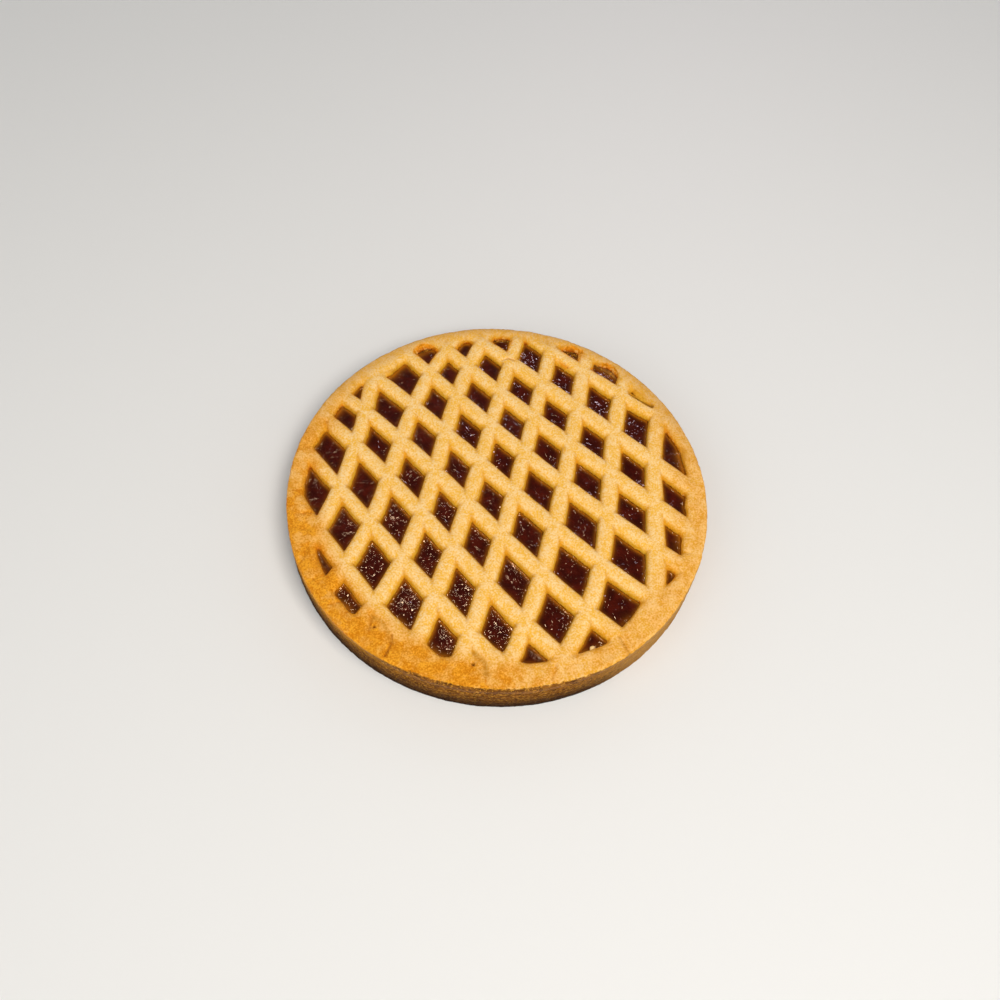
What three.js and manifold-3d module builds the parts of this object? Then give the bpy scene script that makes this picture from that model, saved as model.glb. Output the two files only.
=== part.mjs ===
// Lattice jam tart: a round pastry case, its jam filling and a pressed lattice top with a closed rim.
// Millimetres, +Z up. The origin is the centre of the flat underside, and -Y is the front.
import * as THREE from 'three';
import { mergeVertices } from 'three/addons/utils/BufferGeometryUtils.js';
import Module from 'manifold-3d';

// Driving dimensions
const TART_RADIUS = 130;
const TART_HEIGHT = 27;
const TOP_THICKNESS = 5.6; // lattice and rim, above the jam and the case wall
const BASE_RADIUS = 129.6; // the wall leans out a little as it rises
const BASE_ROUNDING = 1;
const CASE_FLOOR = 10;
const CASE_WALL = 8.5;
const FIT_GAP = 0.3; // between the jam and the case wall
const STRIP_WIDTH = 11.3;
const STRIP_HEIGHT = 5.2;
const RIM_ROUNDING = 2.2;
const SWELL = 0.035; // the dough rises unevenly, as a share of its thickness

// Worked out from them
const JAM_LEVEL = TART_HEIGHT - TOP_THICKNESS;
const CAVITY_RADIUS = TART_RADIUS - CASE_WALL;

const ROUND_SIDES = 96;
const STATIONS = [-90, -30, 30, 90]; // each strip's course is read at these places across the tart

// x of the strips that run front to back, at y = -90, -30, 30 and 90
const STEEP_STRIPS = [
  [-127, -102, -92, -88],
  [-100, -77, -64, -52],
  [-68, -49, -38, -29],
  [-36, -22, -12, -3],
  [-8, 4, 14, 22],
  [21, 34, 42, 48],
  [52, 66, 70, 74],
  [92, 98, 97, 101],
];

// y of the strips that fall from left to right, at x = -90, -30, 30 and 90
const FALLING_STRIPS = [
  [-57, -119, -176, -222],
  [-15, -75, -128, -171],
  [24, -35, -93, -135],
  [54, 1, -51, -98],
  [84, 35, -15, -59],
  [122, 67, 20, -24],
  [150, 97, 50, 7],
  [172, 125, 81, 39],
  [202, 155, 113, 75],
];

// The rim's inner edge: azimuth in degrees (0 at +X, anticlockwise) and radius. It closes over the lattice in
// two places at the front, where the radius is small.
const RIM_INNER_EDGE = [
  [-180, 119], [-175, 120], [-168, 115], [-153, 116], [-139, 118], [-130, 118], [-122, 104], [-114, 105],
  [-108, 109], [-101, 115], [-92, 101], [-84, 104], [-78, 116], [-62, 115], [-58, 117], [-51, 118],
  [-44, 113], [-34, 111], [-23, 117], [-14, 117], [-9, 114], [-3, 117], [3, 115], [12, 120],
  [22, 121.5], [31, 119.5], [43, 121.5], [94, 121.5], [105, 120], [119, 120], [129, 115], [134, 113],
  [142, 121], [153, 121], [165, 117], [170, 120],
];

const wasm = await Module();
wasm.setup();

function toSolid(geometry) {
  const bare = geometry.clone();
  bare.deleteAttribute('normal');
  bare.deleteAttribute('uv');
  const merged = mergeVertices(bare, 1e-4);
  return new wasm.Manifold(new wasm.Mesh({
    numProp: 3,
    vertProperties: new Float32Array(merged.attributes.position.array),
    triVerts: new Uint32Array(merged.index.array),
  }));
}

function toGeometry(solid) {
  const mesh = solid.getMesh();
  const geometry = new THREE.BufferGeometry();
  geometry.setAttribute('position', new THREE.BufferAttribute(new Float32Array(mesh.vertProperties), 3));
  geometry.setIndex(new THREE.BufferAttribute(new Uint32Array(mesh.triVerts), 1));
  geometry.computeVertexNormals();
  return geometry;
}

// A profile of [radius, height] pairs turned about the Z axis.
function turned(profile, sides = ROUND_SIDES) {
  const points = profile.map(([radius, height]) => new THREE.Vector2(radius, height));
  return new THREE.LatheGeometry(points, sides).rotateX(Math.PI / 2);
}

// Quarter-round corner of a profile, from the first angle to the second, in degrees.
function corner(radius, height, size, from, to, steps = 3) {
  return Array.from({ length: steps + 1 }, (_, k) => {
    const angle = THREE.MathUtils.degToRad(from + ((to - from) * k) / steps);
    return [radius + size * Math.cos(angle), height + size * Math.sin(angle)];
  });
}

// Smooth value between -1 and 1 that tells how far the dough has risen at a place on the tart.
function rise(x, y) {
  return 0.6 * Math.sin(x / 17 + 1.3 * Math.sin(y / 29)) + 0.4 * Math.sin(y / 13 + x / 41 + 0.7);
}

function swellDough(geometry) {
  const position = geometry.attributes.position;
  for (let k = 0; k < position.count; k += 1) {
    const above = position.getZ(k) - JAM_LEVEL;
    if (above > 0.01) {
      const change = SWELL * (rise(position.getX(k), position.getY(k)) - 1);
      position.setZ(k, JAM_LEVEL + above * (1 + change));
    }
  }
  return geometry;
}

// A strip's course over the tart: the cubic through its four stations, ending within the rim.
class StripCourse extends THREE.Curve {
  constructor(stations, runsFrontToBack) {
    super();
    this.stations = stations;
    this.runsFrontToBack = runsFrontToBack;
    this.span = this.withinRim();
  }

  across(along) {
    return STATIONS.reduce((sum, at, k) => {
      const others = STATIONS.filter((other) => other !== at);
      const weight = others.reduce((share, other) => (share * (along - other)) / (at - other), 1);
      return sum + weight * this.stations[k];
    }, 0);
  }

  withinRim() {
    const inside = [];
    for (let along = -TART_RADIUS; along <= TART_RADIUS; along += 0.5) {
      if (Math.hypot(along, this.across(along)) < TART_RADIUS - 2) inside.push(along);
    }
    return [inside[0], inside[inside.length - 1]];
  }

  getPoint(t, target = new THREE.Vector3()) {
    const along = THREE.MathUtils.lerp(this.span[0], this.span[1], t);
    const across = this.across(along);
    return this.runsFrontToBack
      ? target.set(across, along, JAM_LEVEL)
      : target.set(along, across, JAM_LEVEL);
  }
}

// Half-round section with full shoulders. A swept shape has its x axis pointing down.
function stripSection(sides = 7) {
  const shape = new THREE.Shape();
  for (let k = 0; k <= sides; k += 1) {
    const angle = (Math.PI * k) / sides;
    const height = STRIP_HEIGHT * Math.sin(angle) ** 0.75;
    const aside = (STRIP_WIDTH / 2) * Math.sign(Math.cos(angle)) * Math.abs(Math.cos(angle)) ** 0.75;
    if (k === 0) shape.moveTo(-0, aside);
    else shape.lineTo(k === sides ? 0 : -height, aside);
  }
  shape.closePath();
  return shape;
}

function strip(stations, runsFrontToBack) {
  const course = new StripCourse(stations, runsFrontToBack);
  const steps = Math.max(4, Math.round(course.getLength() / 16));
  return new THREE.ExtrudeGeometry(stripSection(), {
    steps, extrudePath: course, bevelEnabled: false, curveSegments: 1,
  });
}

function rimInnerRadius(azimuth) {
  const table = [...RIM_INNER_EDGE, [RIM_INNER_EDGE[0][0] + 360, RIM_INNER_EDGE[0][1]]];
  const next = table.findIndex(([at], k) => k > 0 && azimuth <= at);
  const [from, fromRadius] = table[next - 1];
  const [to, toRadius] = table[next];
  return THREE.MathUtils.mapLinear(azimuth, from, to, fromRadius, toRadius);
}

// The rim band: its inside edge follows the table, the outside is round.
function rimBand() {
  const nominal = 110;
  const top = TART_HEIGHT;
  const profile = [
    [nominal, JAM_LEVEL],
    [TART_RADIUS, JAM_LEVEL],
    ...corner(TART_RADIUS - RIM_ROUNDING, top - RIM_ROUNDING, RIM_ROUNDING, 0, 90),
    [nominal + 3, top - 0.6],
    [nominal + 0.6, top - 3],
    [nominal, JAM_LEVEL],
  ];
  const geometry = turned(profile);
  const position = geometry.attributes.position;
  for (let k = 0; k < position.count; k += 1) {
    const [x, y] = [position.getX(k), position.getY(k)];
    const radius = Math.hypot(x, y);
    if (radius < nominal + 5) {
      const azimuth = THREE.MathUtils.radToDeg(Math.atan2(y, x));
      const moved = radius - nominal + rimInnerRadius(azimuth);
      position.setXY(k, (x / radius) * moved, (y / radius) * moved);
    }
  }
  return geometry;
}

function latticeTop() {
  const strips = [
    ...STEEP_STRIPS.map((stations) => strip(stations, true)),
    ...FALLING_STRIPS.map((stations) => strip(stations, false)),
  ].map(toSolid);
  const lattice = strips.reduce((joined, next) => joined.add(next));
  const withinRim = toSolid(turned([
    [0, JAM_LEVEL - 1],
    [TART_RADIUS - RIM_ROUNDING, JAM_LEVEL - 1],
    [TART_RADIUS - RIM_ROUNDING, TART_HEIGHT + 1],
    [0, TART_HEIGHT + 1],
  ]));
  return swellDough(toGeometry(lattice.intersect(withinRim).add(toSolid(rimBand()))));
}

function pastryCase() {
  return turned([
    [0, 0],
    ...corner(BASE_RADIUS - BASE_ROUNDING, BASE_ROUNDING, BASE_ROUNDING, -90, 0),
    [TART_RADIUS, JAM_LEVEL],
    [CAVITY_RADIUS, JAM_LEVEL],
    [CAVITY_RADIUS, CASE_FLOOR],
    [0, CASE_FLOOR],
  ]);
}

function jamFilling() {
  return turned([
    [0, CASE_FLOOR],
    [CAVITY_RADIUS - FIT_GAP, CASE_FLOOR],
    [CAVITY_RADIUS - FIT_GAP, JAM_LEVEL],
    [0, JAM_LEVEL],
  ]);
}

function part(name, geometry, color, roughness) {
  const material = new THREE.MeshStandardMaterial({ color, roughness, metalness: 0 });
  const mesh = new THREE.Mesh(geometry, material);
  mesh.name = name;
  return mesh;
}

const tart = new THREE.Group();
tart.add(part('pastry_case', pastryCase(), 0x8a5a2c, 0.85));
tart.add(part('apricot_jam', jamFilling(), 0x3a1510, 0.2));
tart.add(part('lattice_top', latticeTop(), 0xe9b463, 0.75));

export default tart;
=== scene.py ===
"""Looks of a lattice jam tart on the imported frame: dough lattice and rim, glossy jam and a brown side.

Shapes are worked out in millimetres and turned into metres where a mesh is made. Azimuths are in degrees,
0 at +X and anticlockwise. A height is counted from the jam's level, and z from the tart's underside.
"""

import math
from typing import NamedTuple

import bpy
import numpy as np
from mathutils import Matrix, Vector


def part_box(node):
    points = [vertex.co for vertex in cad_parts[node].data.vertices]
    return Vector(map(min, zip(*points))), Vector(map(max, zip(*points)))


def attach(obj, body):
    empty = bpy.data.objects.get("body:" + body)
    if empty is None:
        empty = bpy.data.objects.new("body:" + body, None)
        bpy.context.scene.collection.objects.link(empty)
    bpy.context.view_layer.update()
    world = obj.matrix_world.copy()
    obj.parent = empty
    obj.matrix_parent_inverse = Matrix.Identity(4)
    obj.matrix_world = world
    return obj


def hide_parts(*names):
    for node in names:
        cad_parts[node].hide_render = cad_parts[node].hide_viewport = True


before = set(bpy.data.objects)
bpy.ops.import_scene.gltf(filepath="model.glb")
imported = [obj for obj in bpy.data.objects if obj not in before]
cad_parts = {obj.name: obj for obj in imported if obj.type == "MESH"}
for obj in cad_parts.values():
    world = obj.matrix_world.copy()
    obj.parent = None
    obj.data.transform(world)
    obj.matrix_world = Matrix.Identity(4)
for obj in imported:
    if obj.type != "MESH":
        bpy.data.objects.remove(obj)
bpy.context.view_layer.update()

MM = 0.001

# Main sizes, read from the frame
CASE_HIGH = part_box("pastry_case")[1] / MM
JAM_LOW, JAM_HIGH = (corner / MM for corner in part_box("apricot_jam"))
TOP_LOW, TOP_HIGH = (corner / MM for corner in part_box("lattice_top"))
TART_RADIUS = TOP_HIGH.x
JAM_RADIUS = JAM_HIGH.x
JAM_LEVEL = JAM_HIGH.z
CASE_FLOOR = JAM_LOW.z
TOP_THICKNESS = TOP_HIGH.z - TOP_LOW.z

# Strips
STRIP_HEIGHT = 5.2
SECTION_POWER = 2.5  # 2 would make the section of a strip an ellipse
FOOT_SPREAD = 0.4  # the strips' feet spread over the jam on their right and front sides
CROSSING_FILLET = 0.4
CORNER_WEB = 0.8  # extra fillet low down, in the corners of the holes
STRIP_END_DROP = 1.0  # how much the strips sink towards the tart's edge
STRIPS_SINK_BETWEEN = (114, 126)  # radii
STRIP_END_INSET = 2.5  # the strips stop this far inside the tart's edge
STATIONS = (-90, -30, 30, 90)

# The places and widths of the strips and the rim's inner edge are rounded results of a least-squares fit to
# the photograph.

# Strips that run front to back: x at y = -90, -30, 30 and 90, and their width there
STEEP_STRIPS = (
    ((-130.9, -103.6, -92, -88.3), (11.5, 10.4, 10.5, 11)),
    ((-105.5, -75.9, -64.9, -51.2), (11.3, 10.2, 11.4, 10)),
    ((-69.4, -47.6, -38.6, -28.9), (11.6, 11, 11, 10.9)),
    ((-35.2, -22.1, -12.2, -3), (11.8, 10.8, 10.8, 9.7)),
    ((-7.5, 4.3, 13.8, 22.2), (11.3, 10.7, 10.8, 10.2)),
    ((21.3, 34.1, 41.8, 47.4), (11, 11.6, 10.7, 11.3)),
    ((52.2, 66.6, 69.3, 75), (11.8, 10.8, 11.8, 11)),
    ((92.7, 98.2, 96, 103.1), (12, 12.3, 11.2, 11.1)),
)

# Strips that fall from left to right: y at x = -90, -30, 30 and 90, and their width there
FALLING_STRIPS = (
    ((-56, -120, -175.5, -219.8), (11.1, 10.1, 11.3, 11.3)),
    ((-14.3, -75.2, -129.7, -169.8), (9.6, 11.4, 12.8, 11.3)),
    ((23, -34.8, -92.4, -134), (11.1, 11.5, 12, 11.4)),
    ((51.7, 1.6, -52.2, -95.4), (10.2, 12, 11.9, 11.9)),
    ((81.3, 34.9, -15.3, -58.2), (10.2, 11.5, 11.9, 10.9)),
    ((119.4, 67.3, 18.7, -23.7), (9.2, 11.2, 11.8, 12.2)),
    ((151.5, 96.6, 49.9, 7.3), (10.9, 10.7, 12.2, 12.9)),
    ((172.6, 123.8, 80.4, 38.5), (11.3, 10.2, 13.2, 12.4)),
    ((203.6, 156.3, 112.3, 74.9), (11.3, 11.2, 10.7, 12)),
)

# Rim
RIM_HEIGHT = 4.8
RIM_SHOULDER = 6.0  # width over which the rim's inner flank rises
RIM_FILLET = 1.4
EDGE_ROUNDING = 2.2
LUMPIER_BETWEEN = (108, 116)  # radii over which the dough grows as lumpy as the rim is
CORNER_EASING = (-2, -1, 0, 1, 2)  # turns in degrees over which the inner edge is averaged
SEAM_REACH = 0.7  # vertices of the rim this near the top edge of the case are moved onto it

# The rim's inner edge: azimuth and radius
RIM_INNER_EDGE = (
    (-180, 118), (-175, 120), (-168, 115.5), (-153, 116.5), (-139, 118.5), (-130, 118), (-122, 102.5),
    (-114, 105), (-108, 108), (-101, 114), (-92, 101), (-84, 103.5), (-78, 113), (-62, 113.5), (-58, 115.5),
    (-51, 116), (-44, 113), (-34, 110), (-23, 119), (-14, 117.5), (-9, 114), (-3, 117), (3, 115.5),
    (12, 119.5), (22, 121), (31, 119), (43, 118.5), (52, 122), (94, 122), (105, 120), (119, 120),
    (129, 116.5), (134, 113), (142, 120), (153, 119.5), (165, 118), (170, 120.5),
)

# Hollows at the back, where the rim is torn open down to the jam: azimuth, radius, half-length along the
# rim, half-width, depth, and how much jam coats them
JAM_HOLLOWS = (
    (119, 116, 9.0, 10.0, 5.6, 1.0),
    (107, 114, 5.0, 6.5, 3.6, 0.3),
    (93, 115, 8.0, 8.5, 5.6, 1.0),
    (70, 117.5, 9.5, 10.0, 6.0, 1.0),
    (58, 116.5, 10.0, 9.5, 6.0, 1.0),
    (43, 119, 11.0, 5.0, 2.2, 0.0),
)
HOLLOW_POWER = 0.7  # 0.5 would make a hollow half an ellipsoid
COATED_DEPTH = 0.9  # depth from which a hollow has its full coat of jam

# Folds, creases and pits pressed in the dough: depth and width, then the points they run through
CREASES = (
    (1.2, 2.0, (-66, -90), (-60, -93), (-56, -98), (-53, -105)),
    (1.9, 0.8, (-53, -101), (-52.5, -106), (-55, -114)),
    (1.4, 0.9, (-66, -92), (-66, -99)),
    (0.9, 0.8, (-91, -86), (-83, -82)),
    (1.4, 2.2, (-5, -107), (1, -112), (3, -119)),
    (1.2, 0.6, (-1, -116), (2, -120), (3, -124)),
    (1.2, 0.8, (42, -109), (41, -115), (40, -119)),
    (1.3, 1.2, (77, -89), (85, -101)),
    (0.8, 1.0, (81, -87), (88, -98)),
    (0.8, 1.0, (-104, -72), (-101, -69)),
    (1.0, 1.2, (-110, -49), (-110, -55), (-113, -61)),
    (1.0, 0.8, (-108, -26), (-119, -28)),
    (1.4, 0.8, (-113, 41), (-112, 34)),
    (1.0, 0.8, (112, -29), (118, -30)),
    (1.3, 0.7, (-6, 102), (-3, 104), (2, 103)),
    (4.2, 1.0, (80, 85), (86, 81), (94, 76.5)),
    (4.0, 0.8, (-63.5, -97)),
    (4.0, 1.0, (-5, -114)),
)

# Crumbs of dough lying on the jam: place and size
CRUMBS = (
    (62.5, -96.6, 2.0),
    (-88, 54, 1.5),
)

# How low the golden crust comes down on the side: azimuth and z. Below it the side is brown.
GOLD_LINE = (
    (-180, 20.5), (-150, 20.0), (-135, 21.0), (-122, 24.0), (-108, 26.0), (-90, 26.6), (-70, 26.2),
    (-52, 24.6), (-30, 25.0), (0, 25.0), (90, 25.0), (150, 24.5),
)
SIDE_DEPTH = 2  # only dough this near the tart's edge counts as its side

# Pastry case
CASE_FOOT_RADIUS = CASE_HIGH.x - 0.7
WALL_TOP_RADIUS = TART_RADIUS - 0.45
CASE_INNER_RADIUS = JAM_RADIUS + 0.2
WALL_FACE_FROM = CASE_FOOT_RADIUS - 0.1  # rings of a smaller radius aren't on the wall's outer face
FOOT_ROUNDING = 0.8
FOOT_POINTS = 6
WALL_STEP = 0.6
WALL_SIDES = 1080

# Jam
JAM_DIP = 0.4  # how far its surface lies under its level
LIP_HEIGHT = 0.25
LIP_WIDTH = 0.9
JAM_GRID = 200


# ---------------------------------------------------------------- smooth noise


NOISE_CELLS = 256


def noise(u, v, size, seed):
    """Smooth random relief from -1 to 1, with bumps about `size` apart."""
    table = np.random.default_rng(seed).uniform(-1.0, 1.0, (NOISE_CELLS, NOISE_CELLS))
    column, row = np.floor(u / size).astype(int), np.floor(v / size).astype(int)
    s, t = u / size - column, v / size - row
    s, t = s * s * (3 - 2 * s), t * t * (3 - 2 * t)
    left, right = column % NOISE_CELLS, (column + 1) % NOISE_CELLS
    low, high = row % NOISE_CELLS, (row + 1) % NOISE_CELLS
    below = table[left, low] * (1 - s) + table[right, low] * s
    above = table[left, high] * (1 - s) + table[right, high] * s
    return below * (1 - t) + above * t


def fractal(u, v, size, seed, octaves):
    """Noise summed over halving sizes, from about -1 to 1."""
    total = sum(noise(u, v, size / 2**k, seed + k) / 2**k for k in range(octaves))
    return total / (2 - 2 ** (1 - octaves))


class Relief(NamedTuple):
    """Unevenness: how much it rises, how far apart its bumps are, its seed, and how many sizes it sums."""

    rise: float
    size: float
    seed: int
    octaves: int = 1

    def at(self, u, v, more_seed=0):
        return self.rise * fractal(u, v, self.size, self.seed + more_seed, self.octaves)


def fade(value, start, end):
    """0 up to the start and 1 from the end on; the end may be the lower of the two."""
    return np.clip((value - start) / (end - start), 0, 1)


# ---------------------------------------------------------------- mesh building


PROBE = 0.05  # distance over which the slope of a field is read
GENTLEST_SLOPE = 0.2
SHARP_ANGLE = 65  # edges that turn by more than this aren't shaded smooth


def crossings(values, axis):
    """Edges of the grid along an axis that pass through the surface, where they do, and if they lead out."""
    near = [slice(None)] * 3
    far = [slice(None)] * 3
    near[axis] = slice(None, -1)
    far[axis] = slice(1, None)
    near, far = values[tuple(near)], values[tuple(far)]
    edges = np.argwhere((near > 0) != (far > 0))
    start, end = near[tuple(edges.T)], far[tuple(edges.T)]
    points = edges.astype(float)
    points[:, axis] += start / (start - end)
    return edges, points, start > 0


def surface_net(field, low, high, step):
    """Vertices and quads of the closed surface where field(x, y, z) is 0; the field is positive inside."""
    axes = [np.arange(a, b + s, s) for a, b, s in zip(low, high, step)]
    values = field(axes[0][:, None, None], axes[1][None, :, None], axes[2][None, None, :])
    sums = np.zeros((values.size, 3))
    counts = np.zeros(values.size)
    quads = []
    for axis in range(3):
        edges, points, outward = crossings(values, axis)
        side, other = np.eye(3, dtype=int)[(axis + 1) % 3], np.eye(3, dtype=int)[(axis + 2) % 3]
        ring = []
        for back in (side + other, other, 0 * side, side):
            cells = np.ravel_multi_index(tuple((edges - back).T), values.shape)
            for k in range(3):
                sums[:, k] += np.bincount(cells, points[:, k], values.size)
            counts += np.bincount(cells, minlength=values.size)
            ring.append(cells)
        ring = np.stack(ring, axis=1)
        quads.append(np.where(outward[:, None], ring, ring[:, ::-1]))
    quads = np.concatenate(quads)
    used, quads = np.unique(quads, return_inverse=True)
    vertices = sums[used] / counts[used][:, None] * np.array(step) + np.array(low)
    return vertices, quads.reshape(-1, 4)


def settle(vertices, field, rounds=3, reach=0.35):
    """Moves each vertex onto the surface along the field's slope."""
    for _ in range(rounds):
        x, y, z = vertices.T
        value = field(x, y, z)
        slope = np.stack([
            field(x + PROBE, y, z) - field(x - PROBE, y, z),
            field(x, y + PROBE, z) - field(x, y - PROBE, z),
            field(x, y, z + PROBE) - field(x, y, z - PROBE),
        ], axis=1) / (2 * PROBE)
        length = np.maximum(np.linalg.norm(slope, axis=1), GENTLEST_SLOPE)
        move = np.clip(-value / length, -reach, reach)
        vertices = vertices + slope / length[:, None] * move[:, None]
    return vertices


def make_piece(name, vertices, faces, material, node):
    """A smooth mesh object that stands for a CAD node and takes its place on the body."""
    mesh = bpy.data.meshes.new(name)
    mesh.from_pydata((np.asarray(vertices) * MM).tolist(), [], [list(map(int, face)) for face in faces])
    mesh.polygons.foreach_set("use_smooth", np.ones(len(mesh.polygons), dtype=bool))
    mesh.set_sharp_from_angle(angle=math.radians(SHARP_ANGLE))
    mesh.materials.append(material)
    piece = bpy.data.objects.new(name, mesh)
    bpy.context.scene.collection.objects.link(piece)
    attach(piece, "root")
    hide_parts(node)
    return piece


def store(piece, name, values):
    """Keeps one number per vertex on a piece, for its material to read."""
    attribute = piece.data.attributes.new(name, "FLOAT", "POINT")
    attribute.data.foreach_set("value", np.asarray(values, dtype=np.float32))


# ---------------------------------------------------------------- dough lattice and rim


MESH_STEP = (1.0, 1.0, 0.8)
MESH_MARGIN = 2.0  # how far the grid reaches past the dough at the sides and at the top
MESH_BELOW = 1.9  # how far it reaches under the jam's level
OUTSIDE = -9.0  # the lowest value in the fields of strips and crumbs

# The reliefs of the strips add the seed of their family to their own
STRIP_WANDER = Relief(0.25, 14.0, 0)
STRIP_WIDTH_CHANGE = Relief(0.04, 7.0, 5)
FOOT_CHANGE = Relief(0.8, 5.0, 9)
STEEP_SEED = 21
FALLING_SEED = 23
STRIP_ROWS = 37.0  # distance between the rows of noise that a strip and the next one follow

DOUGH_SWELL = Relief(0.02, 22.0, 11)
DOUGH_LUMPS = Relief(1.0, 9.0, 12, octaves=3)
LATTICE_LUMPS = 0.02
EXTRA_RIM_LUMPS = 0.07
RIM_FLANK_WANDER = Relief(0.5, 5.0, 25)
TORN_EDGE = (Relief(0.9, 5.0, 31, octaves=2), Relief(0.9, 5.0, 33, octaves=2))
CRUMB_RELIEF = Relief(0.35, 1.6, 71)

WALL_WAVES = Relief(0.15, 9.0, 41, octaves=3)
WALL_SKEW = (0.8, -0.5)  # how far the waves move in x and y per millimetre of z
WALL_GRAIN = Relief(0.16, 1.5, 43)
WALL_DASHES = Relief(0.14, 1.3, 44)
DASH_STRETCH = 3

# Heights between which the jam that coats the dough grows to its full share
SPLASH_HEIGHTS = (3.4, 1.8)
HOLLOW_COAT_HEIGHTS = (4.9, 3.7)
HOLLOW_FROM = 0.05  # depth from which a place counts as in a hollow
SPLASH_REACH = 5.0  # how far out from the rim's inner edge the jam splashes
SPLASH_FADE = 2.0
SPLASH_SHARE = 0.6
SPLASH_PATCHES = Relief(1.6, 11.0, 61)

NOTCH_WIDTH = 0.8
NOTCH_HEIGHTS = (0.97, 0.75)  # shares of the dough's height between which the painted shade in a notch grows to its full share
FOLD_SHADE_DEPTHS = (0.7, 1.9)  # depths between which the painted shade in a crease grows as dark as in a fold


def course(stations):
    """The cubic through a strip's four stations, and its slope."""
    path = np.polyfit(STATIONS, stations, 3)
    return path, np.polyder(path)


def half_round(aside, height, top):
    """1 at the heart of a strip's section and 0 on its skin. `aside` is a share of its half-width."""
    return 1 - (aside**SECTION_POWER + (np.maximum(height, 0) / top) ** SECTION_POWER) ** (1 / SECTION_POWER)


def strip_family(along, across, height, top, family, foot_side, seed):
    """The strips of one direction, joined by taking the largest.

    Low down their feet spread to one side, which is that of greater `across` where foot_side is 1.
    """
    joined = np.full(np.broadcast(along, across, height).shape, OUTSIDE)
    uneven = 1 + FOOT_CHANGE.at(along, across, seed)
    spread = FOOT_SPREAD * uneven * np.clip(1 - height / top, 0, 1) ** 2
    for number, (stations, widths) in enumerate(family):
        path, slope = course(stations)
        row = 0 * across + STRIP_ROWS * number
        lean = np.sqrt(1 + np.polyval(slope, along) ** 2)
        aside = (across - np.polyval(path, along) - STRIP_WANDER.at(along, row, seed)) / lean
        half = np.interp(along, STATIONS, widths) / 2 * (1 + STRIP_WIDTH_CHANGE.at(along, row, seed))
        aside = np.maximum(np.abs(aside) - np.where(foot_side * aside > 0, spread, 0), 0)
        joined = np.maximum(joined, half * half_round(aside / half, height, top))
    return joined


def both_families(x, y, height, top):
    """Fields of the strips that run front to back, and of those that fall from left to right."""
    steep = strip_family(y, x, height, top, STEEP_STRIPS, 1, STEEP_SEED)
    falling = strip_family(x, y, height, top, FALLING_STRIPS, -1, FALLING_SEED)
    return steep, falling


def smooth_join(a, b, fillet):
    """The union of two fields, with a fillet where they meet."""
    overlap = np.maximum(fillet - np.abs(a - b), 0) / fillet
    return np.maximum(a, b) + overlap**2 * fillet / 4


def azimuth_of(x, y):
    return np.degrees(np.arctan2(y, x))


def rim_inner_radius(x, y):
    """Radius of the rim's inner edge in the direction of a place, with its corners eased."""
    azimuths, radii = np.array(RIM_INNER_EDGE, dtype=float).T
    at = azimuth_of(x, y)
    eased = [np.interp(at + turn, azimuths, radii, period=360) for turn in CORNER_EASING]
    return sum(eased) / len(eased)


def wall_radius(x, y, z):
    """The side wall's outer radius: a slight outward lean, with the ring's fine print on it."""
    lean = CASE_FOOT_RADIUS + (WALL_TOP_RADIUS - CASE_FOOT_RADIUS) * fade(z, 0, JAM_LEVEL)
    along = np.arctan2(y, x) * TART_RADIUS
    fine_print = WALL_GRAIN.at(along, z) + WALL_DASHES.at(along / DASH_STRETCH, z)
    return lean + WALL_WAVES.at(x + WALL_SKEW[0] * z, y + WALL_SKEW[1] * z) + fine_print


def dough_top(x, y):
    """How high the dough has risen, as a share of its nominal height. The rim is the lumpier part."""
    on_rim = fade(np.hypot(x, y), *LUMPIER_BETWEEN)
    lumps = (LATTICE_LUMPS + EXTRA_RIM_LUMPS * on_rim) * DOUGH_LUMPS.at(x, y)
    return 1 + DOUGH_SWELL.at(x, y) + lumps


def hollow_depth(x, y):
    """Depth of the torn hollows at a place on the rim, and how much jam coats it, from 0 to 1."""
    deepest, coating = np.zeros((2, *np.broadcast(x, y).shape))
    x, y = x + TORN_EDGE[0].at(x, y), y + TORN_EDGE[1].at(x, y)
    for azimuth, radius, half_length, half_width, depth, coated in JAM_HOLLOWS:
        angle = math.radians(azimuth)
        along = (y * math.cos(angle) - x * math.sin(angle)) / half_length
        outward = (x * math.cos(angle) + y * math.sin(angle) - radius) / half_width
        here = depth * np.clip(1 - along**2 - outward**2, 0, 1) ** HOLLOW_POWER
        deepest = np.maximum(deepest, here)
        coating = np.maximum(coating, coated * here / COATED_DEPTH)
    return deepest, np.clip(coating, 0, 1)


def crease_depth(x, y):
    """Depth of the folds, creases and pits at a place on the dough."""
    deepest = np.zeros(np.broadcast(x, y).shape)
    for depth, width, *points in CREASES:
        for (x0, y0), (x1, y1) in zip(points, points[1:] or points):
            length = math.hypot(x1 - x0, y1 - y0) or 1.0
            ahead_x, ahead_y = (x1 - x0) / length, (y1 - y0) / length
            along = np.clip((x - x0) * ahead_x + (y - y0) * ahead_y, 0, length)
            away = np.hypot(x - x0 - along * ahead_x, y - y0 - along * ahead_y)
            deepest = np.maximum(deepest, depth * np.exp(-((away / width) ** 2)))
    return deepest


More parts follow.
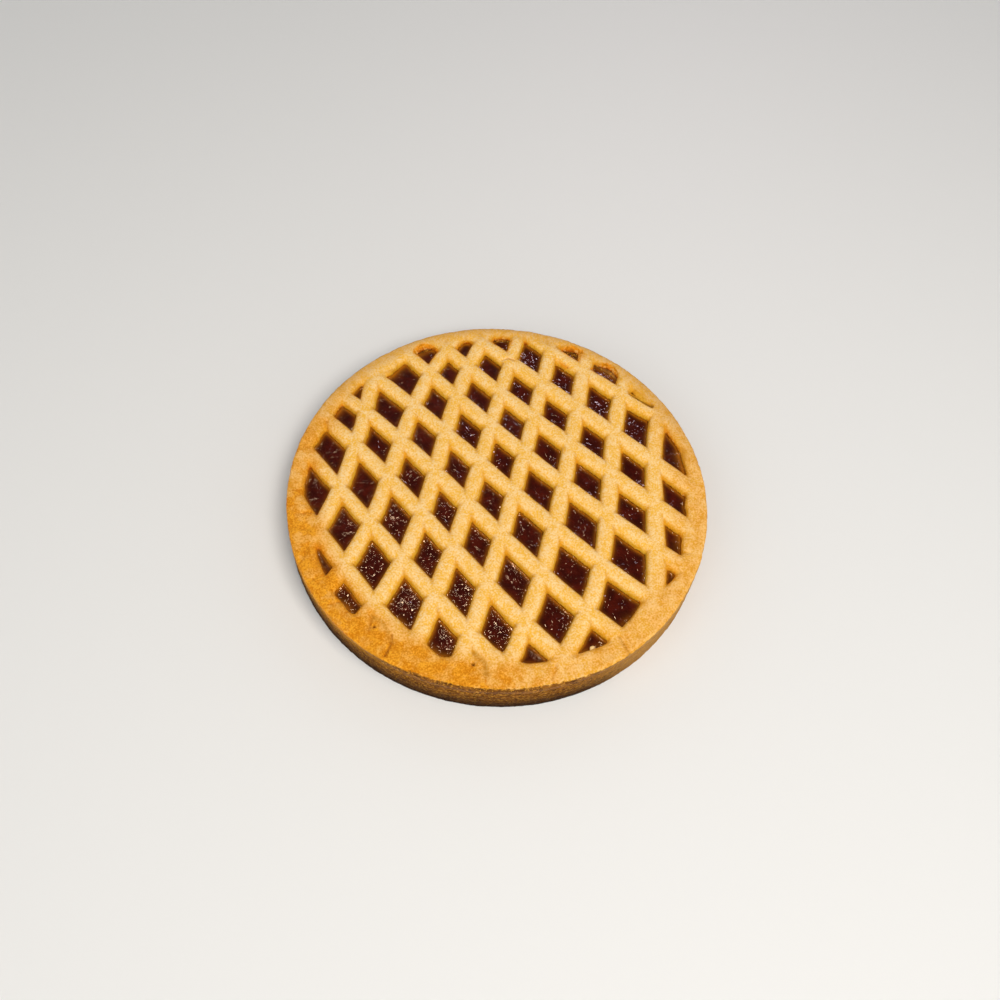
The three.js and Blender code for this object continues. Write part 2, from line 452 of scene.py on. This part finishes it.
def rim_field(x, y, height):
    """Positive inside the rim: a round inner flank, and a rounded edge over the side wall."""
    radius = np.hypot(x, y)
    top = RIM_HEIGHT * dough_top(x, y)
    shoulder = rim_inner_radius(x, y) + RIM_SHOULDER + RIM_FLANK_WANDER.at(x, y)
    inside = RIM_SHOULDER * half_round(np.maximum(shoulder - radius, 0) / RIM_SHOULDER, height, top)
    edge_x = radius - (wall_radius(x, y, height + JAM_LEVEL) - EDGE_ROUNDING)
    edge_z = height - (top - EDGE_ROUNDING)
    corner = np.hypot(np.maximum(edge_x, 0), np.maximum(edge_z, 0))
    outside = EDGE_ROUNDING - corner - np.minimum(np.maximum(edge_x, edge_z), 0)
    return np.minimum(inside, outside)


def lattice_and_rim(x, y, height):
    """Positive inside the dough, which runs on below height 0."""
    radius = np.hypot(x, y)
    top = STRIP_HEIGHT * dough_top(x, y) - STRIP_END_DROP * fade(radius, *STRIPS_SINK_BETWEEN)
    web = CORNER_WEB * np.clip(1 - height / top, 0, 1) ** 2
    lattice = smooth_join(*both_families(x, y, height, top), CROSSING_FILLET + web)
    lattice = np.minimum(lattice, TART_RADIUS - STRIP_END_INSET - radius)
    rim = rim_field(x, y, height + hollow_depth(x, y)[0])
    return smooth_join(lattice, rim, RIM_FILLET)


def crumbs(x, y, height):
    """Positive inside the crumbs that lie on the jam."""
    uneven = CRUMB_RELIEF.at(x + height, y - height)
    nearest = OUTSIDE
    for at_x, at_y, size in CRUMBS:
        away = np.sqrt((x - at_x) ** 2 + (y - at_y) ** 2 + height**2)
        nearest = np.maximum(nearest, size * (1 + uneven) - away)
    return nearest


def dough_field(x, y, z):
    """Positive inside the lattice top, in about millimetres."""
    height = z - JAM_LEVEL
    dough = lattice_and_rim(x, y, height + crease_depth(x, y))
    dough = np.maximum(dough, crumbs(x, y, height))
    return np.minimum(dough, height + 0 * dough)


def jam_splash(x, y, height):
    """How much jam coats the rim's inner flank; it does so here and there."""
    inward = rim_inner_radius(x, y) + SPLASH_REACH - np.hypot(x, y)
    on_flank = fade(inward, 0, SPLASH_FADE) * (inward < SPLASH_REACH + SPLASH_FADE)
    patches = np.clip(SPLASH_SHARE + SPLASH_PATCHES.at(x, y), 0, 1)
    return on_flank * fade(height, *SPLASH_HEIGHTS) * patches


def jam_film(x, y, height):
    """How much jam coats the dough, in the torn hollows and on the rim's inner flank."""
    hollow, coating = hollow_depth(x, y)
    in_hollow = coating * fade(height, *HOLLOW_COAT_HEIGHTS)
    return np.where(hollow > HOLLOW_FROM, in_hollow, jam_splash(x, y, height))


def notch_shade(x, y, height):
    """1 in the valleys that run from the holes' corners up between two strips, where shade is painted."""
    top = STRIP_HEIGHT * dough_top(x, y)
    steep, falling = both_families(x, y, height, top)
    return np.exp(-((steep - falling) / NOTCH_WIDTH) ** 2) * fade(height / top, *NOTCH_HEIGHTS)


def below_gold(x, y, z):
    """How far a place lies below the golden crust's edge on the side; negative on the golden crust."""
    azimuths, levels = zip(*GOLD_LINE)
    gold_line = np.interp(azimuth_of(x, y), azimuths, levels, period=360)
    return np.minimum(gold_line - z, np.hypot(x, y) - TART_RADIUS + SIDE_DEPTH)


def close_seam(vertices):
    """Moves the rounded-off foot of the rim out and down to the top edge of the case."""
    x, y, z = vertices.T
    radius = np.hypot(x, y)
    wall = wall_radius(x, y, np.full_like(z, JAM_LEVEL))
    at_foot = (wall - radius < SEAM_REACH) & (z - JAM_LEVEL < SEAM_REACH)
    scale = np.where(at_foot, wall / np.maximum(radius, 1), 1)
    return np.stack([x * scale, y * scale, np.where(at_foot, JAM_LEVEL, z)], axis=1)


def build_lattice(material):
    reach = TART_RADIUS + MESH_MARGIN
    low = (-reach, -reach, JAM_LEVEL - MESH_BELOW)
    high = (reach, reach, JAM_LEVEL + TOP_THICKNESS + MESH_MARGIN)
    vertices, quads = surface_net(dough_field, low, high, MESH_STEP)
    vertices = settle(vertices, dough_field)
    vertices[:, 2] = np.clip(vertices[:, 2], JAM_LEVEL, TOP_HIGH.z)
    vertices = close_seam(vertices)
    x, y, z = vertices.T
    height = z - JAM_LEVEL
    piece = make_piece("dough_lattice", vertices, quads, material, "lattice_top")
    store(piece, "jam_film", jam_film(x, y, height))
    store(piece, "below_gold", np.clip(below_gold(x, y, z), -2, 2))
    store(piece, "fold_shade", fade(crease_depth(x, y), *FOLD_SHADE_DEPTHS))
    store(piece, "notch_shade", notch_shade(x, y, height))
    store(piece, "crumb", fade(crumbs(x, y, height), -1, 0))


# ---------------------------------------------------------------- pastry case


def case_profile():
    """Radius and z pairs of the case, from its underside round to the floor inside."""
    foot = [
        (CASE_FOOT_RADIUS - FOOT_ROUNDING * (1 - math.sin(a)), FOOT_ROUNDING * (1 - math.cos(a)))
        for a in np.linspace(0, math.pi / 2, FOOT_POINTS)
    ]
    wall = [(CASE_HIGH.x, z) for z in np.arange(FOOT_ROUNDING + WALL_STEP, JAM_LEVEL, WALL_STEP)]
    inside = [(TART_RADIUS, JAM_LEVEL), (CASE_INNER_RADIUS, JAM_LEVEL), (CASE_INNER_RADIUS, CASE_FLOOR)]
    return [*foot, *wall, *inside]


def ring_mesh(profile, sides, shape):
    """A profile turned about Z, each ring shaped in turn, and closed by a point at each end of the axis."""
    angles = np.linspace(0, 2 * np.pi, sides, endpoint=False)
    rings = [
        shape(np.stack([radius * np.cos(angles), radius * np.sin(angles), np.full(sides, z)], axis=1))
        for radius, z in profile
    ]
    vertices = [*np.concatenate(rings), (0, 0, profile[0][1]), (0, 0, profile[-1][1])]
    bottom, top = len(vertices) - 2, len(vertices) - 1
    faces = []
    for side in range(sides):
        after = (side + 1) % sides
        for ring in range(len(profile) - 1):
            a, b = ring * sides, (ring + 1) * sides
            faces.append((a + side, a + after, b + after, b + side))
        last = (len(profile) - 1) * sides
        faces.append((after, side, bottom))
        faces.append((last + side, last + after, top))
    return np.array(vertices), faces


def print_wall(ring):
    """Moves a ring onto the uneven outer face of the wall, if it belongs there."""
    x, y, z = ring.T
    radius = np.hypot(x, y)
    if radius[0] < WALL_FACE_FROM:
        return ring
    scale = wall_radius(x, y, z) / radius
    return np.stack([x * scale, y * scale, z], axis=1)


def build_case(material):
    vertices, faces = ring_mesh(case_profile(), WALL_SIDES, print_wall)
    make_piece("case_wall", vertices, faces, material, "pastry_case")


# ---------------------------------------------------------------- jam


JAM_SWELL = Relief(0.2, 14.0, 51)
JAM_LUMPS = Relief(0.16, 5.0, 52, octaves=2)

# The jam looks thin and amber by the strips, and here and there by the rim
THIN_BY_STRIPS = 0.7  # distances over which it thickens
THIN_BY_RIM = 1.6
THIN_RIM_GAP = 0.5  # it is thinnest up to this far from the rim
THIN_SHARE = 0.4
THIN_PATCHES = Relief(1.5, 13.0, 62)


def depth_under_dough(x, y):
    """How far a place on the jam is under the dough; in the open it is minus the distance to it."""
    return lattice_and_rim(x, y, np.zeros_like(x))


def jam_surface(x, y):
    """The jam's z: slow swells, small lumps, and a lip where it wets the dough."""
    lip = LIP_HEIGHT * np.exp(np.minimum(depth_under_dough(x, y), 0) / LIP_WIDTH)
    return JAM_LEVEL - JAM_DIP + JAM_SWELL.at(x, y) + JAM_LUMPS.at(x, y) + lip


def thin_jam(x, y):
    """How thin and amber the jam looks, from 0 to 1."""
    from_rim = rim_inner_radius(x, y) - np.hypot(x, y)
    patches = np.clip(THIN_SHARE + THIN_PATCHES.at(x, y), 0, 1)
    by_rim = np.exp(-np.maximum(from_rim - THIN_RIM_GAP, 0) / THIN_BY_RIM) * patches
    by_strips = np.exp(np.minimum(depth_under_dough(x, y), 0) / THIN_BY_STRIPS)
    return np.maximum(by_rim, by_strips)


def disc_grid(cells, radius):
    """Points of a square grid bent into a disc."""
    u, v = np.meshgrid(np.linspace(-1, 1, cells + 1), np.linspace(-1, 1, cells + 1), indexing="ij")
    x = u * np.sqrt(1 - v**2 / 2) * radius
    y = v * np.sqrt(1 - u**2 / 2) * radius
    return x.ravel(), y.ravel()


def grid_border(cells):
    """Indices round the edge of the square grid, anticlockwise."""
    side = cells + 1
    bottom = [k * side for k in range(cells)]
    right = [cells * side + k for k in range(cells)]
    top = [(cells - k) * side + cells for k in range(cells)]
    left = [cells - k for k in range(cells)]
    return [*bottom, *right, *top, *left]


def jam_faces(border, first_below, centre):
    """Quads of the grid on top, a wall round its border, and a fan that closes the underside."""
    side = JAM_GRID + 1
    corners = (row * side + column for row in range(JAM_GRID) for column in range(JAM_GRID))
    faces = [(a, a + side, a + side + 1, a + 1) for a in corners]
    for k, here in enumerate(border):
        after = (k + 1) % len(border)
        faces.append((here, first_below + k, first_below + after, border[after]))
        faces.append((first_below + k, centre, first_below + after))
    return faces


def build_jam(material):
    x, y = disc_grid(JAM_GRID, JAM_RADIUS)
    upper = np.stack([x, y, jam_surface(x, y)], axis=1)
    border = grid_border(JAM_GRID)
    lower = upper[border]
    lower[:, 2] = CASE_FLOOR
    vertices = np.concatenate([upper, lower, [(0, 0, CASE_FLOOR)]])
    faces = jam_faces(border, len(upper), len(vertices) - 1)
    piece = make_piece("jam_filling", vertices, faces, material, "apricot_jam")
    store(piece, "near_dough", thin_jam(*vertices.T[:2]))


# ---------------------------------------------------------------- materials


# Display colours. A pair is a darker and a lighter one, mixed by a noise or by height.
PALE_DOUGH = ((246, 184, 62), (253, 214, 152))
LOW_DOUGH = ((230, 160, 28), (238, 182, 56))
TOASTED_AND_SHADED_DOUGH = ((210, 124, 2), (243, 167, 40))
SHADED_BACK_EDGE = (194, 134, 52)
NOTCH_SHADE = (208, 138, 28)
FOLD_SHADE = (130, 80, 26)
JAM_STAIN = (146, 82, 10)
AMBER_FILM = ((180, 78, 8), (236, 152, 26))
FLAKE_SHADOW = (126, 60, 10)
FLAKE = (252, 206, 112)
CRUMB = (252, 216, 150)
BROWN_SIDE = ((84, 44, 8), (130, 78, 20))
LIT_RIGHT_SIDE = (208, 158, 88)
GOLDEN_SIDE = (206, 140, 34)
STREAK = (162, 102, 34)
FLECK = (204, 144, 48)
PIT = (72, 42, 14)
SHADED_FOOT = (32, 15, 5)
RED_JAM = ((52, 10, 5), (76, 19, 8))
THIN_JAM = (176, 104, 16)
FLOOR_COLOUR = (236, 235, 233)

# Directions across the tart in which its colour changes
FRONT_RIGHT = (0.4, -0.9, 0.0)
FRONT_LEFT = (-0.82, -0.57, 0.0)
LEFT = (-0.85, -0.5, 0.0)

# Zones over which the colour or the relief changes: along a direction or an axis, then radii, then in z
TOASTED_FRONT_RIGHT = (-60, 20)
TOAST_AND_SHADE_FRONT_LEFT = (20, 100)
LIT_RIGHT_SIDE_X = (45, 105)
GOLDEN_SIDE_LEFT = (90, 130)
SHADED_BACK_EDGE_Y = (20, 80)
TOASTED_RADII = (100, 121)
LUMPY_RADII = (110, 120)
SHADED_BACK_EDGE_RADII = (117, 129)
GOLDEN_SIDE_Z = (14, 21)
SHADED_FOOT_Z = (0, 19)
JAM_STAIN_Z = (JAM_LEVEL, JAM_LEVEL + 1.5)
AMBER_FILM_Z = (JAM_LEVEL, JAM_LEVEL + 2.8)
LOW_DOUGH_Z = (JAM_LEVEL + 2.4, JAM_LEVEL + 5.0)


def linear(red, green, blue):
    """Linear colour with full alpha, of an 8-bit display colour."""
    shares = (
        c / 12.92 if c <= 0.04045 else ((c + 0.055) / 1.055) ** 2.4
        for c in (red / 255, green / 255, blue / 255)
    )
    return (*shares, 1.0)


class Nodes:
    """Short forms for building a node material in object space."""

    def __init__(self, name):
        self.material = bpy.data.materials.new(name)
        self.material.use_nodes = True
        self.tree = self.material.node_tree
        self.shader = self.tree.nodes["Principled BSDF"]
        self.place = self.tree.nodes.new("ShaderNodeTexCoord").outputs["Object"]

    def add(self, kind, inputs=(), **settings):
        node = self.tree.nodes.new(kind)
        for key, value in settings.items():
            setattr(node, key, value)
        for key, value in dict(inputs).items():
            self.feed(node.inputs[key], value)
        return node

    def feed(self, socket, value):
        """Links another node's socket to this one, or sets its value."""
        if isinstance(value, bpy.types.NodeSocket):
            self.tree.links.new(value, socket)
        else:
            socket.default_value = value

    def noise(self, size_mm, detail=2.0, roughness=0.5, place=None, swirl=0.0):
        """Noise with features about size_mm across, from 0 to 1."""
        inputs = {"Vector": place or self.place, "Scale": 1 / (size_mm * MM), "Distortion": swirl}
        inputs |= {"Detail": detail, "Roughness": roughness}
        return self.add("ShaderNodeTexNoise", inputs).outputs["Fac"]

    def ramp(self, value, low, high, to_low=0.0, to_high=1.0, smooth=True):
        """Maps low..high onto to_low..to_high, and stops there."""
        inputs = {"Value": value, "From Min": low, "From Max": high, "To Min": to_low, "To Max": to_high}
        kind = "SMOOTHSTEP" if smooth else "LINEAR"
        return self.add("ShaderNodeMapRange", inputs, interpolation_type=kind).outputs["Result"]

    def zone(self, place, between, to_low=0.0, to_high=1.0):
        """A ramp over a zone of the object, given in millimetres."""
        low, high = (end * MM for end in between)
        return self.ramp(place, low, high, to_low, to_high)

    def ragged(self, value, size_mm, depth):
        """The value, with noise from -depth to depth added."""
        return self.plus(value, self.ramp(self.noise(size_mm), 0.3, 0.7, -depth, depth))

    def plus(self, a, b):
        return self.add("ShaderNodeMath", {0: a, 1: b}, operation="ADD").outputs[0]

    def times(self, a, b):
        return self.add("ShaderNodeMath", {0: a, 1: b}, operation="MULTIPLY").outputs[0]

    def mix(self, factor, a, b):
        """Mixes two colours; each is a socket or a display colour."""
        a, b = (c if isinstance(c, bpy.types.NodeSocket) else linear(*c) for c in (a, b))
        return self.add("ShaderNodeMix", {0: factor, 6: a, 7: b}, data_type="RGBA").outputs[2]

    def part(self, name):
        """One coordinate of the place on the object, in metres."""
        return self.add("ShaderNodeSeparateXYZ", {0: self.place}).outputs[name]

    def vector(self, operation, vector):
        """The place on the object combined with a constant vector."""
        return self.add("ShaderNodeVectorMath", {0: self.place, 1: vector}, operation=operation)

    def squeezed(self, factors):
        """The place with its coordinates multiplied, which makes a texture finer by these factors."""
        return self.vector("MULTIPLY", factors).outputs["Vector"]

    def shifted(self, shift):
        return self.vector("ADD", shift).outputs["Vector"]

    def towards(self, direction):
        """How far the place lies in a direction, in metres."""
        return self.vector("DOT_PRODUCT", direction).outputs["Value"]

    def stored(self, name):
        """A number kept on the mesh."""
        return self.add("ShaderNodeAttribute", attribute_name=name).outputs["Fac"]

    def radius(self):
        """Distance from the tart's axis, in metres."""
        flat = self.squeezed((1, 1, 0))
        return self.add("ShaderNodeVectorMath", {0: flat}, operation="LENGTH").outputs["Value"]

    def bump(self, height, depth_mm, normal=None, strength=1.0):
        """Shading relief on top of that of `normal`, if given."""
        inputs = {"Height": height, "Strength": strength, "Distance": depth_mm * MM}
        if normal is not None:
            inputs["Normal"] = normal
        return self.add("ShaderNodeBump", inputs).outputs["Normal"]

    def finish(self, **sockets):
        """Sets the shader's sockets, named with _ for a space."""
        for name, value in sockets.items():
            self.feed(self.shader.inputs[name.replace("_", " ")], value)
        return self.material


def brown_dough(n):
    """Colour of the side: brown with fine light flecks and darker pits, and painted shade at the foot.

    It has painted light on the right, and is golden at the top of the left.
    """
    patches = n.noise(5.0, detail=3.0, roughness=0.6, place=n.squeezed((1, 1, 2.2)))
    streaks = n.noise(1.3, place=n.squeezed((0.25, 0.25, 1)))
    flecks = n.noise(1.5, roughness=0.6, place=n.squeezed((0.9, 0.9, 1.8)))
    pits = n.noise(1.8, detail=1.0, place=n.shifted((0.3, 0.1, 0.2)))
    # Painted light: the side is lighter on the right, where the lamps fall on it
    lit_right_side = n.zone(n.part("X"), LIT_RIGHT_SIDE_X)
    left_top = n.times(n.zone(n.towards(LEFT), GOLDEN_SIDE_LEFT), n.zone(n.part("Z"), GOLDEN_SIDE_Z))
    pitted = n.times(n.ramp(pits, 0.34, 0.44, 0.6, 0.0), n.ramp(lit_right_side, 0.0, 1.0, 1.0, 0.3))
    # Painted shade at the foot of the side, less on the lit right
    foot = n.times(n.zone(n.part("Z"), SHADED_FOOT_Z, 0.95, 0.0), n.ramp(lit_right_side, 0.0, 1.0, 1.0, 0.2))
    colour = n.mix(n.ramp(patches, 0.3, 0.7), *BROWN_SIDE)
    colour = n.mix(n.times(lit_right_side, 0.75), colour, LIT_RIGHT_SIDE)
    colour = n.mix(n.times(left_top, 0.8), colour, GOLDEN_SIDE)
    colour = n.mix(n.ramp(streaks, 0.42, 0.60, 0.0, 0.5), colour, STREAK)
    colour = n.mix(n.times(n.ramp(flecks, 0.53, 0.64), 0.9), colour, FLECK)
    colour = n.mix(pitted, colour, PIT)
    return n.mix(foot, colour, SHADED_FOOT)


def toast_and_shade_share(n):
    """How toasted the rim is: most towards the front left, hardly at the back, in soft blotches. Towards the
    left this colour is also painted shade.
    """
    front_right = n.zone(n.towards(FRONT_RIGHT), TOASTED_FRONT_RIGHT, 0.0, 0.5)
    front_left = n.zone(n.towards(FRONT_LEFT), TOAST_AND_SHADE_FRONT_LEFT, 0.0, 0.85)
    on_rim = n.zone(n.radius(), TOASTED_RADII)
    blotches = n.ramp(n.noise(8.0), 0.35, 0.65, 0.6, 1.1)
    return n.times(n.times(on_rim, n.plus(front_left, front_right)), blotches)


def bare_dough(n, grain):
    """Colour of the golden crust where no jam coats it: grainy, toasted on the rim, and stained low down,
    with painted shade on the left of the rim, on its outer edge at the back, in the notches and in the
    creases.
    """
    z = n.part("Z")
    speckle = n.ramp(n.ragged(grain, 5.0, 0.08), 0.37, 0.65, smooth=False)
    pale, low, toast_and_shade_colour = (n.mix(speckle, *pair) for pair in (PALE_DOUGH, LOW_DOUGH, TOASTED_AND_SHADED_DOUGH))
    colour = n.mix(n.zone(z, LOW_DOUGH_Z, 1.0, 0.0), pale, low)
    # Toast colour; on the left of the rim it is also painted shade
    colour = n.mix(toast_and_shade_share(n), colour, toast_and_shade_colour)
    # Painted shade: the rim's outer edge is darker towards the back.
    shaded_back_edge = n.times(n.zone(n.radius(), SHADED_BACK_EDGE_RADII), n.zone(n.part("Y"), SHADED_BACK_EDGE_Y))
    colour = n.mix(n.times(shaded_back_edge, 0.6), colour, SHADED_BACK_EDGE)
    # Painted shade in the valleys between two strips
    colour = n.mix(n.times(n.stored("notch_shade"), 0.65), colour, NOTCH_SHADE)
    # Painted shade in the creases, folds and pits
    colour = n.mix(n.times(n.stored("fold_shade"), 0.6), colour, FOLD_SHADE)
    stain = n.zone(n.ragged(z, 1.6, 0.5 * MM), JAM_STAIN_Z, 0.85, 0.0)
    return n.mix(stain, colour, JAM_STAIN)


def coated_dough(n):
    """Colour of dough under a film of jam: amber, darker low down, with flakes of torn dough."""
    torn = n.noise(2.6, swirl=1.0)
    colour = n.mix(n.zone(n.part("Z"), AMBER_FILM_Z), *AMBER_FILM)
    colour = n.mix(n.ramp(torn, 0.54, 0.62, 0.0, 0.4), colour, FLAKE_SHADOW)
    return n.mix(n.ramp(torn, 0.38, 0.46, 0.5, 0.0), colour, FLAKE)


def crust_relief(n, grain, film):
    """Fine grain and soft lumps everywhere, more lumps on the rim, and flakes under the film of jam."""
    normal = n.bump(n.noise(5.0), 0.5, n.bump(grain, 0.3))
    normal = n.bump(n.noise(2.6), 0.6, normal, n.zone(n.radius(), LUMPY_RADII))
    return n.bump(n.noise(2.2, detail=1.0, swirl=1.0), 0.3, normal, film)


def golden_crust():
    n = Nodes("golden_crust")
    grain = n.noise(1.1)
    film = n.stored("jam_film")
    colour = n.mix(film, bare_dough(n, grain), coated_dough(n))
    colour = n.mix(n.stored("crumb"), colour, CRUMB)
    brown_edge = n.ramp(n.ragged(n.stored("below_gold"), 2.0, 0.3), -0.2, 0.5)
    colour = n.mix(brown_edge, colour, brown_dough(n))
    roughness = n.ramp(film, 0.0, 1.0, 0.62, 0.2)
    normal = crust_relief(n, grain, film)
    return n.finish(Base_Color=colour, Roughness=roughness, Normal=normal, Specular_IOR_Level=0.15)


def side_crust():
    n = Nodes("baked_side_crust")
    relief = n.noise(1.6, place=n.squeezed((0.6, 0.6, 2.2)))
    roughness = n.ramp(relief, 0.3, 0.7, 0.7, 0.95)
    normal = n.bump(relief, 0.7)
    return n.finish(Base_Color=brown_dough(n), Roughness=roughness, Normal=normal, Specular_IOR_Level=0.08)


def jam():
    n = Nodes("jam")
    cloud = n.noise(7.0, detail=3.0, roughness=0.6)
    colour = n.mix(n.ramp(cloud, 0.35, 0.7), *RED_JAM)
    colour = n.mix(n.stored("near_dough"), colour, THIN_JAM)
    ripples = n.bump(n.noise(2.4, detail=1.0, swirl=0.8), 0.06)
    normal = n.bump(n.noise(4.2, detail=1.0, swirl=1.5), 0.46, ripples)
    return n.finish(Base_Color=colour, Roughness=0.07, Normal=normal, IOR=1.3)


# ---------------------------------------------------------------- floor, light and camera


FLOOR_SIZE = 6.0  # metres, as the lamps' distances and sizes
KEY_LIGHT = {"azimuth": -55, "elevation": 62, "distance": 1.6, "size": 0.9, "watts": 20}
FILL_LIGHT = {"azimuth": -135, "elevation": 45, "distance": 1.8, "size": 1.2, "watts": 5.5}
LOW_GLINTS = {"azimuth": 80, "elevation": 38, "distance": 1.8, "size": 0.18, "watts": 5.5}
HIGH_GLINTS = {"azimuth": 110, "elevation": 72, "distance": 1.8, "size": 0.11, "watts": 5}
SHEEN_LIGHT = {"azimuth": 96, "elevation": 42, "distance": 1.8, "size": 0.8, "watts": 0.12}
LAMP_WHITE = (1.0, 0.97, 0.92)
LAMP_WARM = (1.0, 0.7, 0.45)
LAMP_LILAC = (1.0, 0.8, 0.95)
SKY_COLOUR = (0.93, 0.96, 1.0, 1.0)
SKY_HORIZON = 1.0
SKY_OVERHEAD = 0.08
SKY_DARK_FROM = 0.77  # sine of the elevation above which the sky is as dark as overhead

# Camera, as solved from the rim and the side wall
PHOTO_PIXELS = 1000
FOCAL_PIXELS = 1100
SENSOR_WIDTH = 36.0
CAMERA_ELEVATION = 59.3
CAMERA_ROLL = 5.42
CAMERA_DISTANCE = 677.5
CAMERA_SHIFT_RIGHT = 0.8
CAMERA_SHIFT_UP = -5.2
AIM_Z = 26.6


def build_floor():
    half = FLOOR_SIZE / 2
    corners = [(-half, -half, 0), (half, -half, 0), (half, half, 0), (-half, half, 0)]
    mesh = bpy.data.meshes.new("floor")
    mesh.from_pydata(corners, [], [(0, 1, 2, 3)])
    mesh.materials.append(Nodes("floor").finish(Base_Color=linear(*FLOOR_COLOUR), Roughness=0.6))
    floor = bpy.data.objects.new("floor", mesh)
    bpy.context.scene.collection.objects.link(floor)


def build_light(name, colour, azimuth, elevation, distance, size, watts):
    """A square lamp that faces the middle of the tart."""
    light = bpy.data.lights.new(name, "AREA")
    light.energy = watts
    light.size = size
    light.color = colour
    lamp = bpy.data.objects.new(name, light)
    azimuth, elevation = math.radians(azimuth), math.radians(elevation)
    direction = Vector((
        math.cos(elevation) * math.cos(azimuth),
        math.cos(elevation) * math.sin(azimuth),
        math.sin(elevation),
    ))
    lamp.location = direction * distance
    lamp.rotation_euler = direction.to_track_quat("Z", "Y").to_euler()
    bpy.context.scene.collection.objects.link(lamp)
    return lamp


def build_sky():
    """A soft studio sky, brighter towards the horizon."""
    world = bpy.data.worlds.new("studio")
    world.use_nodes = True
    tree = world.node_tree
    direction = tree.nodes.new("ShaderNodeTexCoord").outputs["Generated"]
    parts = tree.nodes.new("ShaderNodeSeparateXYZ")
    strength = tree.nodes.new("ShaderNodeMapRange")
    levels = {"From Min": 0.0, "From Max": SKY_DARK_FROM, "To Min": SKY_HORIZON, "To Max": SKY_OVERHEAD}
    for name, value in levels.items():
        strength.inputs[name].default_value = value
    tree.links.new(direction, parts.inputs[0])
    tree.links.new(parts.outputs["Z"], strength.inputs["Value"])
    sky = tree.nodes["Background"]
    sky.inputs["Color"].default_value = SKY_COLOUR
    tree.links.new(strength.outputs["Result"], sky.inputs["Strength"])
    bpy.context.scene.world = world


def build_studio():
    """Soft lamps light the tart from the front. Lamps behind it are only mirrored in its surfaces."""
    build_light("key", LAMP_WHITE, **KEY_LIGHT).visible_glossy = False
    build_light("fill", LAMP_WHITE, **FILL_LIGHT).visible_glossy = False
    build_light("low_glints", LAMP_LILAC, **LOW_GLINTS).visible_diffuse = False
    build_light("high_glints", LAMP_WARM, **HIGH_GLINTS).visible_diffuse = False
    build_light("sheen", LAMP_LILAC, **SHEEN_LIGHT).visible_diffuse = False
    build_sky()
    bpy.context.scene.view_settings.view_transform = "Standard"


def build_camera():
    """The photograph's camera: it looks at the tart from the front, rolled a little."""
    elevation, roll = math.radians(CAMERA_ELEVATION), math.radians(CAMERA_ROLL)
    forward = Vector((0, math.cos(elevation), -math.sin(elevation)))
    right = Vector((1, 0, 0))
    up = right.cross(forward)
    turned_right = math.cos(roll) * right + math.sin(roll) * up
    turned_up = math.cos(roll) * up - math.sin(roll) * right
    place = Vector((0, 0, AIM_Z)) - CAMERA_DISTANCE * forward
    place += CAMERA_SHIFT_RIGHT * turned_right + CAMERA_SHIFT_UP * turned_up
    data = bpy.data.cameras.new("camera")
    data.sensor_width = SENSOR_WIDTH
    data.lens = FOCAL_PIXELS / PHOTO_PIXELS * data.sensor_width
    camera = bpy.data.objects.new("camera", data)
    matrix = Matrix((turned_right, turned_up, -forward)).transposed().to_4x4()
    matrix.translation = place * MM
    camera.matrix_world = matrix
    bpy.context.scene.collection.objects.link(camera)
    bpy.context.scene.camera = camera


build_camera()
build_studio()
build_floor()
build_lattice(golden_crust())
build_case(side_crust())
build_jam(jam())
